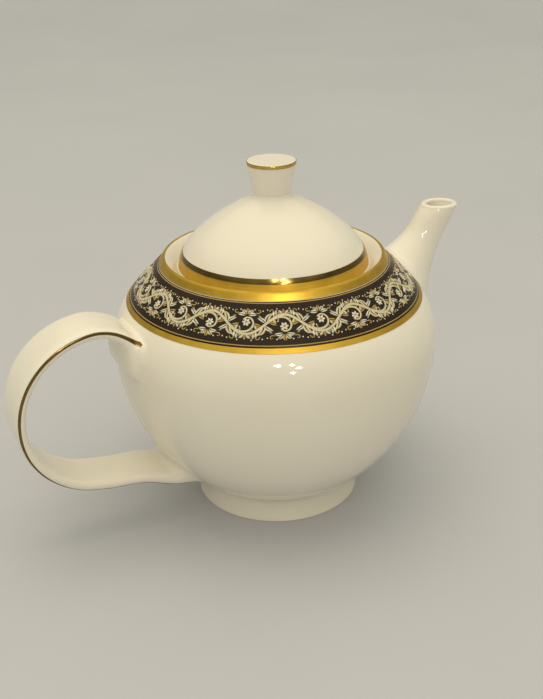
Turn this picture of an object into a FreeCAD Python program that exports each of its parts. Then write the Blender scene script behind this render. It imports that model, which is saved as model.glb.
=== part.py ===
"""Globe teapot in glazed porcelain, in millimetres.

The origin is the centre of the foot ring on the table. +Z is up, +X points to the spout and -X to the handle.
Every profile of revolution is drawn in the XZ plane and turned about Z.
"""
import FreeCAD
import Part
import math
import os
import Sketcher

doc = FreeCAD.newDocument("Teapot")

# Driving dimensions

SIZES = {
    # Globe
    "body_radius": 75.0,
    "belly_arc_radius": 85.0,
    "equator_arc_radius": 30.0,
    "shoulder_arc_radius": 126.0,
    "shoulder_start_angle": 38.6,
    "shoulder_width": 23.0,
    "wall_thickness": 4.0,
    # Foot ring
    "foot_radius": 39.3,
    "foot_lean": 1.5,
    "foot_height": 10.7,
    "foot_wall": 4.6,
    "floor_lift": 0.9,
    "floor_thickness": 4.8,
    # Raised rim and the dished seat of the lid
    "rim_rise": 3.2,
    "rim_lean": 1.8,
    "rim_crest_width": 1.5,
    "rim_crest_rise": 0.45,
    "dish_width": 5.0,
    "seat_drop": 1.4,
    "seat_width": 7.2,
    "seat_thickness": 3.8,
    # Lid
    "lid_side_clearance": 0.5,
    "lid_band_height": 5.0,
    "lid_band_lean": 1.3,
    "dome_edge_arc_radius": 32.3,
    "dome_arc_radius": 84.5,
    "dome_edge_slope": 64.8,
    "dome_break_slope": 41.0,
    "lid_wall": 3.5,
    "flange_clearance": 0.7,
    "flange_wall": 3.0,
    "flange_depth": 8.0,
    "hollow_top_radius": 9.0,
    "vent_diameter": 3.0,
    "vent_offset": 20.0,
    # Knob
    "knob_base_radius": 8.5,
    "knob_root_radius": 2.8,
    "knob_top_radius": 11.05,
    "knob_height": 14.2,
    "knob_edge_radius": 0.6,
    # Spout: mouth, neck, throat and root, placed from the globe's equator
    "tip_out": 15.2,
    "tip_rise": 48.4,
    "tip_radius": 8.0,
    "tip_wall": 2.7,
    "spout_slope": 60.0,
    "neck_length": 19.5,
    "neck_radius": 8.9,
    "throat_out": 0.6,
    "throat_rise": 23.4,
    "throat_slope": 44.0,
    "throat_radius": 11.5,
    "root_inset": 6.0,
    "root_rise": 9.0,
    "root_slope": 19.0,
    "root_half_height": 21.0,
    "root_narrowing": 3.5,
    "root_embed": 14.0,
    "root_flare": 4.0,
    "spout_oval": 0.2,
    "spout_wall": 3.2,
    # Strainer behind the spout
    "strainer_hole_diameter": 4.6,
    "strainer_ring_radius": 8.5,
    # Handle: a circular loop of strap with a straight lower arm
    "loop_out": 13.0,
    "loop_top_rise": 21.7,
    "loop_bottom_height": 29.3,
    "strap_half_width": 12.5,
    "strap_half_thickness": 2.7,
    "upper_root_inset": 4.0,
    "upper_root_rise": 6.5,
    "upper_root_slope": 20.0,
    "upper_root_half_width": 17.5,
    "upper_root_half_height": 10.5,
    "upper_throat_out": 1.0,
    "upper_throat_rise": 15.3,
    "upper_throat_slope": 45.0,
    "upper_throat_half_width": 13.8,
    "upper_throat_half_height": 5.6,
    "upper_bend_inset": 6.5,
    "upper_bend_drop": 1.6,
    "upper_bend_slope": 22.0,
    "bend_swell": 0.4,
    "handle_embed": 9.5,
    "lower_arm_slope": 6.9,
    "lower_bend_inset": 16.0,
    "lower_root_drop": 4.9,
    "lower_root_out": 3.6,
    "lower_root_half_width": 15.0,
    "lower_root_half_height": 5.0,
    "lower_embed_rise": 4.1,
    "lower_embed_slope": 22.0,
    # Films fired on the glaze
    "film_thickness": 0.15,
    "film_lift": 0.1,
    "film_gap": 0.3,
    "border_inset": 0.6,
    "gold_ring_inset": 0.7,
    "gold_ring_width": 2.0,
    "edge_line_width": 2.3,
    "knob_line_width": 1.5,
    "handle_line_width": 1.9,
    "line_end_out": 3.0,
}

sheet = doc.addObject("Spreadsheet::Sheet", "Sizes")
for row, (alias, value) in enumerate(SIZES.items(), start=1):
    sheet.set(f"A{row}", alias)
    sheet.set(f"B{row}", str(value))
    sheet.setAlias(f"B{row}", alias)
doc.recompute()


class Terms(dict):
    """Formulas by name: a formula may use sizes and earlier formulas, written as words in braces."""

    def __missing__(self, alias):
        return f"Sizes.{alias}"

    def write(self, formula):
        """The formula with every word in braces replaced by its cell or its own formula."""
        return formula.format_map(self)

    def add(self, name, formula):
        self[name] = f"({self.write(formula)})"


terms = Terms()


def number(formula):
    """The present value of a formula."""
    value = sheet.evalExpression(terms.write(formula))
    return float(getattr(value, "Value", value))


# Profile formulas: arc centres and meeting points of the globe, its foot, rim and seat

terms.add("foot_top_radius", "{foot_radius} - {foot_lean}")
terms.add("belly_x", "{body_radius} - {belly_arc_radius}")
terms.add("equator_height", "{foot_height} + sqrt({belly_arc_radius}^2 - ({foot_top_radius} - {belly_x})^2)")
terms.add("equator_x", "{body_radius} - {equator_arc_radius}")
terms.add("shoulder_gain", "{equator_arc_radius} - {shoulder_arc_radius}")
terms.add("shoulder_x", "{equator_x} + {shoulder_gain} * cos({shoulder_start_angle})")
terms.add("shoulder_z", "{equator_height} + {shoulder_gain} * sin({shoulder_start_angle})")
terms.add("shoulder_start_r", "{equator_x} + {equator_arc_radius} * cos({shoulder_start_angle})")
terms.add("shoulder_start_z", "{equator_height} + {equator_arc_radius} * sin({shoulder_start_angle})")
terms.add("inner_equator_radius", "{equator_arc_radius} - {wall_thickness}")
terms.add("inner_shoulder_radius", "{shoulder_arc_radius} - {wall_thickness}")
terms.add("inner_belly_radius", "{belly_arc_radius} - {wall_thickness}")
terms.add("floor_z", "{foot_height} + {floor_lift}")
terms.add("recess_z", "{floor_z} - {floor_thickness}")
terms.add("floor_r", "{belly_x} + sqrt({inner_belly_radius}^2 - ({equator_height} - {floor_z})^2)")
terms.add("rim_base_r", "{body_radius} - {shoulder_width}")
terms.add("rim_base_z", "{shoulder_z} + sqrt({shoulder_arc_radius}^2 - ({rim_base_r} - {shoulder_x})^2)")
terms.add("rim_r", "{rim_base_r} - {rim_lean}")
terms.add("rim_z", "{rim_base_z} + {rim_rise}")
terms.add("rim_inner_r", "{rim_r} - {rim_crest_width}")
terms.add("rim_crest_arc", "(({rim_crest_width} / 2)^2 + {rim_crest_rise}^2) / (2 * {rim_crest_rise})")
terms.add("seat_z", "{rim_base_z} - {seat_drop}")
terms.add("seat_r", "{rim_inner_r} - {dish_width}")
terms.add("mouth_r", "{seat_r} - {seat_width}")
terms.add("neck_z", "{seat_z} - {seat_thickness}")
terms.add("neck_r", "{shoulder_x} + sqrt({inner_shoulder_radius}^2 - ({neck_z} - {shoulder_z})^2)")

# Profile formulas of the lid: the knob's root is an arc that touches the dome and ends upright

terms.add("lid_r", "{seat_r} - {lid_side_clearance}")
terms.add("dome_edge_r", "{lid_r} - {lid_band_lean}")
terms.add("dome_edge_z", "{seat_z} + {lid_band_height}")
terms.add("dome_edge_x", "{dome_edge_r} - {dome_edge_arc_radius} * sin({dome_edge_slope})")
terms.add("dome_edge_y", "{dome_edge_z} - {dome_edge_arc_radius} * cos({dome_edge_slope})")
terms.add("break_r", "{dome_edge_x} + {dome_edge_arc_radius} * sin({dome_break_slope})")
terms.add("break_z", "{dome_edge_y} + {dome_edge_arc_radius} * cos({dome_break_slope})")
terms.add("dome_x", "{break_r} - {dome_arc_radius} * sin({dome_break_slope})")
terms.add("dome_y", "{break_z} - {dome_arc_radius} * cos({dome_break_slope})")
terms.add("knob_root_arm", "{dome_arc_radius} + {knob_root_radius}")
terms.add("knob_root_x", "{knob_base_radius} + {knob_root_radius}")
terms.add("knob_z", "{dome_y} + sqrt({knob_root_arm}^2 - ({knob_root_x} - {dome_x})^2)")
terms.add("dome_top_r", "{dome_x} + ({knob_root_x} - {dome_x}) * {dome_arc_radius} / {knob_root_arm}")
terms.add("dome_top_z", "{dome_y} + ({knob_z} - {dome_y}) * {dome_arc_radius} / {knob_root_arm}")
terms.add("knob_top_z", "{knob_z} + {knob_height}")
terms.add("knob_edge_z", "{knob_top_z} - {knob_edge_radius}")
terms.add("knob_flat_r", "{knob_top_radius} - {knob_edge_radius}")
terms.add("flange_r", "{mouth_r} - {flange_clearance}")
terms.add("flange_bore_r", "{flange_r} - {flange_wall}")
terms.add("hollow_arc", "{dome_arc_radius} - {lid_wall}")
terms.add("hollow_low_z", "{dome_y} + sqrt({hollow_arc}^2 - ({flange_bore_r} - {dome_x})^2)")
terms.add("hollow_top_z", "{dome_y} + sqrt({hollow_arc}^2 - ({hollow_top_radius} - {dome_x})^2)")

# Drawing helpers

CENTRE_LEFT = "left"
CENTRE_RIGHT = "right"
H_AXIS, V_AXIS = -1, -2
ORIGIN = (-1, 1)
UP = FreeCAD.Vector(0, 0, 1)
FULL_TURN = 360
SIXTH_TURN = 60


def origin_plane(body, role):
    return next(feature for feature in body.Origin.OriginFeatures if feature.Role == role)


def plane_sketch(body, name, role):
    sketch = body.newObject("Sketcher::SketchObject", name)
    sketch.AttachmentSupport = [(origin_plane(body, role), "")]
    sketch.MapMode = "FlatFace"
    return sketch


def bind(sketch, constraint, formula):
    """Add a dimension to a sketch and tie it to its formula."""
    index = sketch.addConstraint(constraint)
    sketch.setExpression(f"Constraints[{index}]", terms.write(formula))


def place(sketch, geometry, end, across, up):
    """Fix one end of a curve at (across, up), both formulas; zero means on the axis."""
    for kind, formula, axis in (("DistanceX", across, V_AXIS), ("DistanceY", up, H_AXIS)):
        if formula == "0":
            sketch.addConstraint(Sketcher.Constraint("PointOnObject", geometry, end, axis))
        else:
            value = number(formula)
            bind(sketch, Sketcher.Constraint(kind, *ORIGIN, geometry, end, value), formula)


def arc_between(first, last, radius, side):
    """The short arc from first to last whose centre lies left or right of the way along it."""
    chord = last - first
    depth = math.sqrt(radius ** 2 - (chord.Length / 2) ** 2)
    left = FreeCAD.Vector(-chord.y, chord.x, 0).normalize()
    away = left if side == CENTRE_LEFT else -left
    centre = (first + last) / 2 + away * depth
    angles = [math.atan2(point.y - centre.y, point.x - centre.x) for point in (first, last)]
    if side == CENTRE_RIGHT:
        angles.reverse()
    return Part.ArcOfCircle(Part.Circle(centre, UP, radius), *angles)


def draw_outline(sketch, corners):
    """Draw a closed outline.

    Each corner is (across, up), with a straight edge to the next corner, or (across, up, radius, side), with an
    arc to the next corner.
    """
    points = [FreeCAD.Vector(number(corner[0]), number(corner[1]), 0) for corner in corners]
    ends = []
    for corner, first, last in zip(corners, points, points[1:] + points[:1]):
        if len(corner) == 2:
            geometry = sketch.addGeometry(Part.LineSegment(first, last))
            ends.append((geometry, 1, 2))
        else:
            radius, side = corner[2:]
            geometry = sketch.addGeometry(arc_between(first, last, number(radius), side))
            bind(sketch, Sketcher.Constraint("Radius", geometry, number(radius)), radius)
            ends.append((geometry, 1, 2) if side == CENTRE_LEFT else (geometry, 2, 1))
    for corner, edge, before in zip(corners, ends, ends[-1:] + ends[:-1]):
        sketch.addConstraint(Sketcher.Constraint("Coincident", before[0], before[2], edge[0], edge[1]))
        place(sketch, edge[0], edge[1], corner[0], corner[1])


def turned_body(label, corners):
    """A body turned about Z from an outline of (radius, height) corners."""
    body = doc.addObject("PartDesign::Body", label)
    sketch = plane_sketch(body, f"{label}_profile", "XZ_Plane")
    draw_outline(sketch, corners)
    turn = body.newObject("PartDesign::Revolution", f"{label}_turn")
    turn.Profile = sketch
    turn.ReferenceAxis = (sketch, ["V_Axis"])
    turn.Angle = FULL_TURN
    doc.recompute()
    return body


def pierce(body, name, role, holes, reach):
    """Cut round holes, each (across, up, diameter), from an origin plane along its normal."""
    before = body.Shape.Volume
    sketch = plane_sketch(body, name, role)
    for across, up, diameter in holes:
        centre = FreeCAD.Vector(number(across), number(up), 0)
        geometry = sketch.addGeometry(Part.Circle(centre, UP, number(diameter) / 2))
        bind(sketch, Sketcher.Constraint("Diameter", geometry, number(diameter)), diameter)
        place(sketch, geometry, 3, across, up)
    pocket = body.newObject("PartDesign::Pocket", f"{name}_pocket")
    pocket.Profile = sketch
    pocket.setExpression("Length", terms.write(reach))
    pocket.Reversed = True
    doc.recompute()
    if not body.Shape.Volume < before:
        raise ValueError(f"{name} cuts nothing")


def path_section(name, spin, across, up, slope, long_radius, short_radius):
    """An ellipse square to a path that passes (across, up) in the XZ plane, rising at slope degrees above +X.

    Its long axis lies in the XZ plane, or along Y with a spin of 90 degrees.
    """
    section = doc.addObject("Part::Ellipse", name)
    section.setExpression("MajorRadius", terms.write(long_radius))
    section.setExpression("MinorRadius", terms.write(short_radius))
    spot = f"vector({across}; 0; {up})"
    tilt = f"rotation(vector(0; 1; 0); (90 - ({slope})) * 1deg)"
    turn = f"rotation(vector(0; 0; 1); {spin}deg)"
    section.setExpression("Placement", terms.write(f"placement({spot}; {tilt} * {turn})"))
    return section


def loft(label, spin, stations):
    """A smooth solid through ellipses, each given by the formulas that path_section takes."""
    solid = doc.addObject("Part::Loft", label)
    solid.Sections = [path_section(f"{label}_{index}", spin, *station) for index, station in enumerate(stations)]
    solid.Solid = True
    return solid


def combine(kind, label, base, tool):
    result = doc.addObject(f"Part::{kind}", label)
    result.Base = base
    result.Tool = tool
    return result


nodes = {}

# Globe with foot ring and rim

outside = [
    ("{foot_radius}", "0"),
    ("{foot_top_radius}", "{foot_height}", "{belly_arc_radius}", CENTRE_LEFT),
    ("{body_radius}", "{equator_height}", "{equator_arc_radius}", CENTRE_LEFT),
    ("{shoulder_start_r}", "{shoulder_start_z}", "{shoulder_arc_radius}", CENTRE_LEFT),
    ("{rim_base_r}", "{rim_base_z}"),
    ("{rim_r}", "{rim_z}", "{rim_crest_arc}", CENTRE_LEFT),
    ("{rim_inner_r}", "{rim_z}"),
]
inside = [
    ("{seat_r}", "{seat_z}"),
    ("{mouth_r}", "{seat_z}"),
    ("{mouth_r}", "{neck_z}"),
    ("{neck_r}", "{neck_z}", "{inner_shoulder_radius}", CENTRE_RIGHT),
    ("{equator_x} + {inner_equator_radius} * cos({shoulder_start_angle})",
     "{equator_height} + {inner_equator_radius} * sin({shoulder_start_angle})",
     "{inner_equator_radius}", CENTRE_RIGHT),
    ("{body_radius} - {wall_thickness}", "{equator_height}", "{inner_belly_radius}", CENTRE_RIGHT),
    ("{floor_r}", "{floor_z}"),
    ("0", "{floor_z}"),
]
underside = [
    ("0", "{recess_z}"),
    ("{foot_top_radius} - {foot_wall}", "{recess_z}"),
    ("{foot_radius} - {foot_wall}", "0"),
]
nodes["pot_body"] = turned_body("pot_body", outside + inside + underside)

terms.add("root_height", "{equator_height} + {root_rise}")
terms.add("ring_side", f"{{strainer_ring_radius}} * sin({SIXTH_TURN})")
strainer_places = [("0", "{root_height}")]
strainer_places += [("0", f"{{root_height}} {sign} {{strainer_ring_radius}}") for sign in "+-"]
strainer_places += [(f"{side}{{ring_side}}", f"{{root_height}} {sign} {{strainer_ring_radius}} / 2")
                    for side in ("", "-") for sign in "+-"]
strainer_holes = [(*spot, "{strainer_hole_diameter}") for spot in strainer_places]
pierce(nodes["pot_body"], "strainer_holes", "YZ_Plane", strainer_holes, "{body_radius}")

# The globe's full outer form trims whatever is joined to its wall

globe = turned_body("globe_form", outside[1:5] + [("0", "{rim_base_z}"), ("0", "{foot_height}")])

# Spout: a loft from inside the globe's wall to the level mouth, and its bore

LONG_IN_PLANE = 0
LONG_ACROSS = 90

terms.add("tip_reach", "{body_radius} + {tip_out}")
terms.add("tip_height", "{equator_height} + {tip_rise}")
terms.add("neck_x", "{tip_reach} - {neck_length} * cos({spout_slope})")
terms.add("neck_up", "{tip_height} - {neck_length} * sin({spout_slope})")
terms.add("throat_reach", "{body_radius} + {throat_out}")
terms.add("throat_height", "{equator_height} + {throat_rise}")
terms.add("root_reach", "{body_radius} - {root_inset}")
terms.add("root_half_width", "{root_half_height} - {root_narrowing}")
terms.add("embed_x", "{root_reach} - {root_embed} * cos({root_slope})")
terms.add("embed_z", "{root_height} - {root_embed} * sin({root_slope})")


def spout_stations(wall, tip_wall):
    """Sections of the spout from root to mouth, each made smaller by a wall for the bore."""
    return [
        ("{embed_x}", "{embed_z}", "{root_slope}",
         f"{{root_half_height}} + {{root_flare}} - {wall}", f"{{root_half_width}} + {{root_flare}} - {wall}"),
        ("{root_reach}", "{root_height}", "{root_slope}",
         f"{{root_half_height}} - {wall}", f"{{root_half_width}} - {wall}"),
        ("{throat_reach}", "{throat_height}", "{throat_slope}",
         f"{{throat_radius}} + {{spout_oval}} - {wall}", f"{{throat_radius}} - {wall}"),
        ("{neck_x}", "{neck_up}", "{spout_slope}",
         f"{{neck_radius}} + {{spout_oval}} - {tip_wall}", f"{{neck_radius}} - {tip_wall}"),
        ("{tip_reach}", "{tip_height}", "90",
         f"({{tip_radius}} - {tip_wall}) / sin({{spout_slope}})", f"{{tip_radius}} - {tip_wall}"),
    ]


spout_form = loft("spout_form", LONG_IN_PLANE, spout_stations("0", "0"))
spout_bore = loft("spout_bore", LONG_IN_PLANE, spout_stations("{spout_wall}", "{tip_wall}"))
spout_trimmed = combine("Cut", "spout_trimmed", spout_form, globe)
nodes["spout"] = combine("Cut", "spout", spout_trimmed, spout_bore)

# Handle: flared upper root, circular loop of strap, straight lower arm, flared lower root

LOOP_STEPS = 6

terms.add("loop_reach", "{body_radius} + {loop_out}")
terms.add("loop_top", "{equator_height} + {loop_top_rise}")
terms.add("loop_radius", "({loop_top} - {loop_bottom_height}) / 2")
terms.add("loop_height", "({loop_top} + {loop_bottom_height}) / 2")
terms.add("arm_turn", "180 - {lower_arm_slope}")
terms.add("arm_reach", "{loop_reach} + {loop_radius} * sin({arm_turn})")
terms.add("arm_z", "{loop_height} + {loop_radius} * cos({arm_turn})")
terms.add("lower_bend_reach", "{loop_reach} - {lower_bend_inset}")
terms.add("lower_bend_z", "{arm_z} - ({arm_reach} - {lower_bend_reach}) * tan({lower_arm_slope})")
terms.add("lower_root_z", "{loop_bottom_height} - {lower_root_drop}")
terms.add("lower_wall_r", "{belly_x} + sqrt({belly_arc_radius}^2 - ({equator_height} - {lower_root_z})^2)")
terms.add("lower_root_reach", "{lower_wall_r} + {lower_root_out}")
terms.add("upper_root_reach", "{body_radius} - {upper_root_inset}")
terms.add("upper_root_height", "{equator_height} + {upper_root_rise}")
terms.add("upper_embed_x", "{upper_root_reach} - {handle_embed} * cos({upper_root_slope})")
terms.add("upper_embed_z", "{upper_root_height} - {handle_embed} * sin({upper_root_slope})")


def loop_station(step, extra):
    """A strap section on the loop, counted from its top towards the lower arm."""
    turn = f"({{arm_turn}} * {step} / {LOOP_STEPS})"
    return (f"-({{loop_reach}} + {{loop_radius}} * sin({turn}))", f"{{loop_height}} + {{loop_radius}} * cos({turn})",
            f"180 + {turn}", f"{{strap_half_width}} + {extra}", f"{{strap_half_thickness}} + {extra}")


def handle_stations(extra):
    """Sections of the handle from the upper root to the lower root, each swollen by extra."""
    bend_half_width = f"{{strap_half_width}} + {{bend_swell}} + {extra}"
    bend_half_height = f"{{strap_half_thickness}} + {{bend_swell}} + {extra}"
    upper = [
        ("-{upper_embed_x}", "{upper_embed_z}", "180 - {upper_root_slope}",
         f"{{upper_root_half_width}} + {{root_flare}} + {extra}",
         f"{{upper_root_half_height}} + {{root_flare}} + {extra}"),
        ("-{upper_root_reach}", "{upper_root_height}", "180 - {upper_root_slope}",
         f"{{upper_root_half_width}} + {extra}", f"{{upper_root_half_height}} + {extra}"),
        ("-({body_radius} + {upper_throat_out})", "{equator_height} + {upper_throat_rise}",
         "180 - {upper_throat_slope}",
         f"{{upper_throat_half_width}} + {extra}", f"{{upper_throat_half_height}} + {extra}"),
        ("-({loop_reach} - {upper_bend_inset})", "{loop_top} - {upper_bend_drop}",
         "180 - {upper_bend_slope}", bend_half_width, bend_half_height),
    ]
    loop = [loop_station(step, extra) for step in range(LOOP_STEPS + 1)]
    lower = [
        ("-{lower_bend_reach}", "{lower_bend_z}", "-{lower_arm_slope}", bend_half_width, bend_half_height),
        ("-{lower_root_reach}", "{lower_root_z}", "-{lower_arm_slope}",
         f"{{lower_root_half_width}} + {extra}", f"{{lower_root_half_height}} + {extra}"),
        ("-({lower_root_reach} - {handle_embed})", "{lower_root_z} + {lower_embed_rise}", "{lower_embed_slope}",
         f"{{lower_root_half_width}} + {{root_flare}} + {extra}",
         f"{{lower_root_half_height}} + {{root_flare}} + {extra}"),
    ]
    return upper + loop + lower


handle_form = loft("handle_form", LONG_ACROSS, handle_stations("0"))
nodes["handle"] = combine("Cut", "handle", handle_form, globe)

# Lid: dome, seat band and locating flange in one piece, with a steam hole

nodes["lid"] = turned_body("lid", [
    ("{lid_r}", "{seat_z}"),
    ("{dome_edge_r}", "{dome_edge_z}", "{dome_edge_arc_radius}", CENTRE_LEFT),
    ("{break_r}", "{break_z}", "{dome_arc_radius}", CENTRE_LEFT),
    ("{dome_top_r}", "{dome_top_z}", "{knob_root_radius}", CENTRE_RIGHT),
    ("{knob_base_radius}", "{knob_z}"),
    ("0", "{knob_z}"),
    ("0", "{hollow_top_z}"),
    ("{hollow_top_radius}", "{hollow_top_z}", "{hollow_arc}", CENTRE_RIGHT),
    ("{flange_bore_r}", "{hollow_low_z}"),
    ("{flange_bore_r}", "{seat_z} - {flange_depth}"),
    ("{flange_r}", "{seat_z} - {flange_depth}"),
    ("{flange_r}", "{seat_z}"),
])
pierce(nodes["lid"], "steam_hole", "XY_Plane", [("0", "{vent_offset}", "{vent_diameter}")], "{knob_top_z}")

# Knob: a solid cone, wider at its flat top

nodes["lid_knob"] = turned_body("lid_knob", [
    ("0", "{knob_z}"),
    ("{knob_base_radius}", "{knob_z}"),
    ("{knob_top_radius}", "{knob_edge_z}", "{knob_edge_radius}", CENTRE_LEFT),
    ("{knob_flat_r}", "{knob_top_z}"),
    ("0", "{knob_top_z}"),
])

# Films on the globe's shoulder: the printed border, the gold ring below it and the gold on the rim

terms.add("film_top", "{film_lift} + {film_thickness}")
terms.add("gold_ring_low_r", "{shoulder_start_r} - {gold_ring_inset}")
terms.add("border_low_r", "{gold_ring_low_r} - {gold_ring_width}")
terms.add("border_high_r", "{rim_base_r} + {border_inset}")


def on_shoulder(radius, lift):
    """The point of the shoulder at a radius from the axis, lifted off the glaze square to it."""
    angle = f"acos(({radius} - {{shoulder_x}}) / {{shoulder_arc_radius}})"
    arm = f"({{shoulder_arc_radius}} + {lift})"
    return f"{{shoulder_x}} + {arm} * cos({angle})", f"{{shoulder_z}} + {arm} * sin({angle})"


def shoulder_film(label, low_radius, high_radius):
    """A film on the shoulder between two radii, notched where the spout stands on it."""
    top_arc = "{shoulder_arc_radius} + {film_top}"
    bottom_arc = "{shoulder_arc_radius} + {film_lift}"
    ring = turned_body(f"{label}_ring", [
        on_shoulder(low_radius, "{film_lift}"),
        (*on_shoulder(low_radius, "{film_top}"), top_arc, CENTRE_LEFT),
        on_shoulder(high_radius, "{film_top}"),
        (*on_shoulder(high_radius, "{film_lift}"), bottom_arc, CENTRE_RIGHT),
    ])
    nodes[label] = combine("Cut", label, ring, spout_form)


shoulder_film("border_gold_ring", "{gold_ring_low_r}", "{border_low_r}")
shoulder_film("shoulder_border", "{border_low_r}", "{border_high_r}")


def cone_film(label, low_r, low_z, high_r, high_z):
    """A film on a cone between two rings of the cone, lifted straight out from the axis."""
    nodes[label] = turned_body(label, [
        (f"{low_r} + {{film_lift}}", low_z),
        (f"{low_r} + {{film_top}}", low_z),
        (f"{high_r} + {{film_top}}", high_z),
        (f"{high_r} + {{film_lift}}", high_z),
    ])


cone_film("rim_gold_band",
          "{rim_base_r} - {rim_lean} * {film_gap} / {rim_rise}", "{rim_base_z} + {film_gap}",
          "{rim_r}", "{rim_z}")
cone_film("lid_gold_band",
          "{lid_r} - {lid_band_lean} * {film_gap} / {lid_band_height}", "{seat_z} + {film_gap}",
          "{dome_edge_r}", "{dome_edge_z}")

# Burnished line round the dome's edge and round the knob's top

terms.add("line_slope", "{dome_edge_slope} - {edge_line_width} / {dome_edge_arc_radius} * 180 / pi")


def on_dome_edge(slope, lift):
    """The point of the dome's lower arc where it slopes by this much, lifted off the glaze."""
    arm = f"({{dome_edge_arc_radius}} + {lift})"
    return f"{{dome_edge_x}} + {arm} * sin({slope})", f"{{dome_edge_y}} + {arm} * cos({slope})"


nodes["lid_edge_line"] = turned_body("lid_edge_line", [
    on_dome_edge("{dome_edge_slope}", "{film_lift}"),
    (*on_dome_edge("{dome_edge_slope}", "{film_top}"), "{dome_edge_arc_radius} + {film_top}", CENTRE_LEFT),
    on_dome_edge("{line_slope}", "{film_top}"),
    (*on_dome_edge("{line_slope}", "{film_lift}"), "{dome_edge_arc_radius} + {film_lift}", CENTRE_RIGHT),
])
terms.add("knob_flare", "({knob_top_radius} - {knob_base_radius}) / ({knob_edge_z} - {knob_z})")
cone_film("knob_gold_line",
          "{knob_top_radius} - {knob_flare} * {knob_line_width}", "{knob_edge_z} - {knob_line_width}",
          "{knob_top_radius}", "{knob_edge_z}")

# Burnished line along each edge of the strap

line_form = loft("line_form", LONG_ACROSS, handle_stations("{film_thickness}"))
terms.add("line_depth", "{strap_half_width} * (1 - sqrt(1 - ({handle_line_width} / 2 / {strap_half_thickness})^2))")
terms.add("line_start", "{strap_half_width} - {line_depth}")
terms.add("loop_far", "{loop_reach} + {loop_radius} + 2 * {strap_half_width}")


def handle_line(label, side):
    """The film on one edge of the strap: the swollen handle outside a plane along the strap, less the handle."""
    keep = doc.addObject("Part::Box", f"{label}_keep")
    keep.setExpression("Length", terms.write("{loop_far} - {body_radius} - {line_end_out}"))
    keep.setExpression("Width", terms.write("{strap_half_width}"))
    keep.setExpression("Height", terms.write("{loop_far}"))
    keep.setExpression("Placement.Base.x", terms.write("-{loop_far}"))
    keep.setExpression("Placement.Base.y", terms.write(side))
    strip = combine("Common", f"{label}_strip", line_form, keep)
    nodes[label] = combine("Cut", label, strip, nodes["handle"])


handle_line("handle_gold_line_left", "{line_start}")
handle_line("handle_gold_line_right", "-{line_start} - {strap_half_width}")

# Build, test and write

doc.recompute()
for item in doc.Objects:
    if "Invalid" in item.State or "Error" in item.State:
        raise ValueError(f"{item.Label} failed: {item.State}")
os.makedirs("parts", exist_ok=True)
for label, node in nodes.items():
    shape = node.Shape
    if shape.isNull() or not shape.isValid() or not shape.Solids:
        raise ValueError(f"{label} has no valid solid")
    shape.exportStep(f"parts/{label}.step")
    print(f"{label}: {len(shape.Solids)} solid, {shape.Volume / 1000:.2f} cm3, box {shape.BoundBox}")
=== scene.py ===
# %% [markdown]
# # A white porcelain teapot with gold lines
# The teapot is a globe of glazed porcelain with a spout, a strap handle and a lid that lifts off. A black
# printed border with pale scrolls runs round its shoulder between gold bands. The measured model gives
# every size and place. This lesson adds the soft edges that glaze leaves, the fillets of slip at the joins,
# the scrolls and the finishes.

# %% Load the measured model
import math

import bpy
import numpy as np
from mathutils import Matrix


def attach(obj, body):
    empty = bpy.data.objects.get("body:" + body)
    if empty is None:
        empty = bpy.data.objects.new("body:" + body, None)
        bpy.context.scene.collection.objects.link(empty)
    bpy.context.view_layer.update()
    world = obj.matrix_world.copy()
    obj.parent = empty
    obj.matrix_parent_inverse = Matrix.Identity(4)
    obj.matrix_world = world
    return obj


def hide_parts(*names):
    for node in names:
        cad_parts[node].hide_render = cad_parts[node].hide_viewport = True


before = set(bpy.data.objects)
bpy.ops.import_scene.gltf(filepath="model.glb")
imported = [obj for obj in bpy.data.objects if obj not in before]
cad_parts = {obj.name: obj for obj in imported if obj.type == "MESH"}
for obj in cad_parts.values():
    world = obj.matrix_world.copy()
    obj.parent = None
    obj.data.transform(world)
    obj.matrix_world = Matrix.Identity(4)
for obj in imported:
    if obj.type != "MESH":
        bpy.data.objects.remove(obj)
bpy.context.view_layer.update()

MM = 0.001

# %% [markdown]
# ## Profiles
# Globe, lid, knob and bands are surfaces of revolution, so each starts as a profile of (radius, height)
# points in millimetres. A bevel modifier could round the corners, but glaze rounds each one differently: it
# pools thickly above the foot and lies thinly on the rim. So each corner carries its own softness, and a
# moving mean along the profile rounds it.

# %% Helpers for profiles
FINE_STEP = 0.1
LEAST_SOFTNESS, SOFTNESS_FADE = 0.25, 0.6
ROW_LENGTH, ROW_TURN = 4.0, math.radians(8)
TINY = 1e-9


def arc(centre, radius, first, last, count=60):
    """Inner points of an arc: centre + radius (cos a, sin a), a from first to last in degrees."""
    a = np.radians(np.linspace(first, last, count))[1:-1]
    return np.stack([centre[0] + radius * np.cos(a), centre[1] + radius * np.sin(a), 0 * a], -1)


def corner(radius, height, softness):
    """One corner of a profile, with the length over which glaze rounds it."""
    return np.array([[radius, height, softness]])


def run(points):
    """Distance run along a row of points, from 0 at the first."""
    return np.r_[0, np.cumsum(np.linalg.norm(np.diff(points, axis=0), axis=1))]


def points_at(path, measure, wanted):
    """Points of a path where its measure reaches wanted values, on straight lines between its points."""
    return np.stack([np.interp(wanted, measure, column) for column in path.T], -1)


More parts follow.
